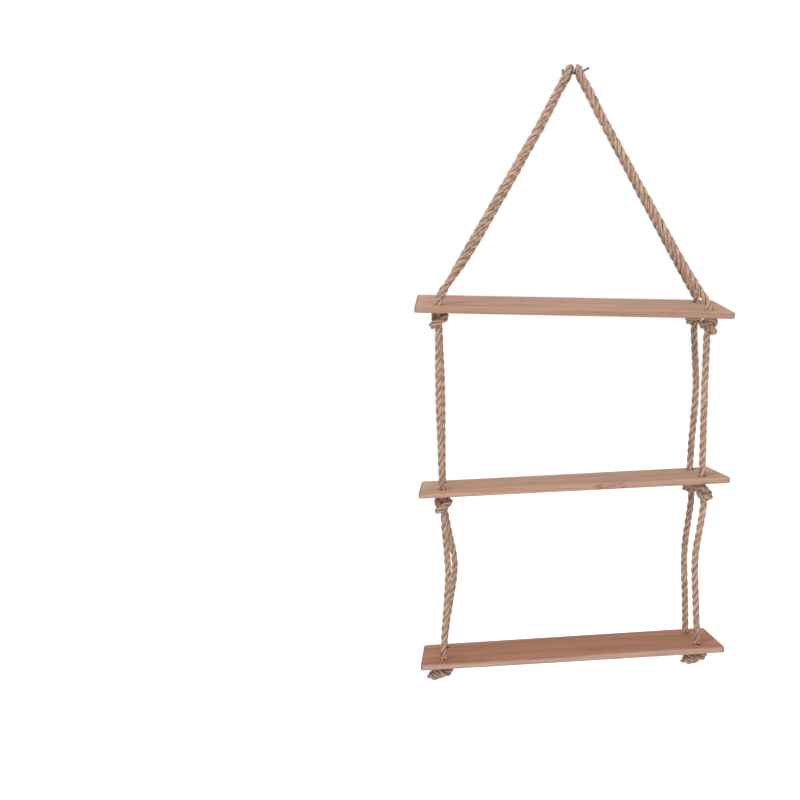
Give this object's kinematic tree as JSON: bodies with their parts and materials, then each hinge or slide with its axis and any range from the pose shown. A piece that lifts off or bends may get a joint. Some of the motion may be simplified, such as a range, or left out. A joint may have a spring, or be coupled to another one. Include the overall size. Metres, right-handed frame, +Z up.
{
  "type": "hanging rope shelf",
  "caption": "Hanging shelf: thin wooden boards with rounded corners on knotted twisted ropes that fold over one steel wall hook.",
  "frame": {"origin": "centre of the hook's collar, on the face that seats on the wall", "axes": "+Z up, +Y into the wall, +X to the right as seen from the room"},
  "size_m": [0.435, 0.171, 0.8834],
  "materials": {
    "timber": "pale reddish timber, lightly sealed",
    "rope": "three-strand twisted jute",
    "steel": "dark bent rod"
  },
  "bodies": {
    "hook": {"wall_hook": "steel"},
    "bights": {"rope_bight_left": "rope", "rope_bight_right": "rope"},
    "top_tier": {"board_top": "timber", "sling_leg_front_left": "rope", "sling_leg_back_left": "rope", "sling_leg_front_right": "rope", "sling_leg_back_right": "rope", "knot_top_front_left": "rope", "knot_top_back_left": "rope", "knot_top_front_right": "rope", "knot_top_back_right": "rope"},
    "upper_rope_front_left": {"upper_leg_front_left": "rope"},
    "upper_rope_back_left": {"upper_leg_back_left": "rope"},
    "upper_rope_front_right": {"upper_leg_front_right": "rope"},
    "upper_rope_back_right": {"upper_leg_back_right": "rope"},
    "middle_tier": {"board_middle": "timber", "knot_middle_front_left": "rope", "knot_middle_back_left": "rope", "knot_middle_front_right": "rope", "knot_middle_back_right": "rope"},
    "lower_rope_front_left": {"lower_leg_front_left": "rope"},
    "lower_rope_back_left": {"lower_leg_back_left": "rope"},
    "lower_rope_front_right": {"lower_leg_front_right": "rope"},
    "lower_rope_back_right": {"lower_leg_back_right": "rope"},
    "bottom_tier": {"board_bottom": "timber", "knot_bottom_front_left": "rope", "knot_bottom_back_left": "rope", "knot_bottom_front_right": "rope", "knot_bottom_back_right": "rope"}
  },
  "joints": [
    {"name": "swing_sideways", "type": "hinge", "parent": "hook", "child": "bights", "pos_m": [0.00695, -0.08, 0.02793], "axis": [0, -1, 0], "range_deg": [-8, 8]},
    {"name": "swing_forward", "type": "hinge", "parent": "bights", "child": "top_tier", "pos_m": [0.00695, -0.08, -0.0013], "axis": [-1, 0, 0], "range_deg": [-1, 12]},
    {"name": "middle_board_sway", "type": "hinge", "parent": "top_tier", "child": "upper_rope_front_left", "pos_m": [-0.17922, -0.11502, -0.3533], "axis": [0, -1, 0], "range_deg": [-8, 8]},
    {"name": "upper_rope_back_left_turn", "type": "hinge", "parent": "top_tier", "child": "upper_rope_back_left", "pos_m": [-0.17907, -0.0392, -0.34804], "axis": [0, -1, 0], "range_deg": [-8, 8]},
    {"name": "upper_rope_front_right_turn", "type": "hinge", "parent": "top_tier", "child": "upper_rope_front_right", "pos_m": [0.18864, -0.11502, -0.36357], "axis": [0, -1, 0], "range_deg": [-9.3, 9.3]},
    {"name": "upper_rope_back_right_turn", "type": "hinge", "parent": "top_tier", "child": "upper_rope_back_right", "pos_m": [0.18879, -0.0392, -0.35831], "axis": [0, -1, 0], "range_deg": [-8.7, 8.7]},
    {"name": "middle_board_level", "type": "hinge", "parent": "upper_rope_front_left", "child": "middle_tier", "pos_m": [-0.17537, -0.11485, -0.56798], "axis": [0, -1, 0], "range_deg": [-8, 8]},
    {"name": "bottom_board_sway", "type": "hinge", "parent": "middle_tier", "child": "lower_rope_front_left", "pos_m": [-0.1728, -0.12043, -0.61589], "axis": [0, -1, 0], "range_deg": [-8, 8]},
    {"name": "lower_rope_back_left_turn", "type": "hinge", "parent": "middle_tier", "child": "lower_rope_back_left", "pos_m": [-0.17233, -0.04493, -0.62464], "axis": [0, -1, 0], "range_deg": [-8, 8]},
    {"name": "lower_rope_front_right_turn", "type": "hinge", "parent": "middle_tier", "child": "lower_rope_front_right", "pos_m": [0.19168, -0.12043, -0.59636], "axis": [0, -1, 0], "range_deg": [-8.4, 8.4]},
    {"name": "lower_rope_back_right_turn", "type": "hinge", "parent": "middle_tier", "child": "lower_rope_back_right", "pos_m": [0.19215, -0.04493, -0.60512], "axis": [0, -1, 0], "range_deg": [-8.2, 8.2]},
    {"name": "bottom_board_level", "type": "hinge", "parent": "lower_rope_front_left", "child": "bottom_tier", "pos_m": [-0.17452, -0.12008, -0.82153], "axis": [0, -1, 0], "range_deg": [-8, 8]}
  ],
  "couplings": [
    {"joint": "upper_rope_back_left_turn", "follows": "middle_board_sway", "ratio": 0.93871},
    {"joint": "upper_rope_front_right_turn", "follows": "middle_board_sway", "ratio": 1.1613},
    {"joint": "upper_rope_back_right_turn", "follows": "middle_board_sway", "ratio": 1.0795},
    {"joint": "middle_board_level", "follows": "middle_board_sway", "ratio": -1},
    {"joint": "lower_rope_back_left_turn", "follows": "bottom_board_sway", "ratio": 0.9779},
    {"joint": "lower_rope_front_right_turn", "follows": "bottom_board_sway", "ratio": 1.0381},
    {"joint": "lower_rope_back_right_turn", "follows": "bottom_board_sway", "ratio": 1.0143},
    {"joint": "bottom_board_level", "follows": "bottom_board_sway", "ratio": -1}
  ]
}
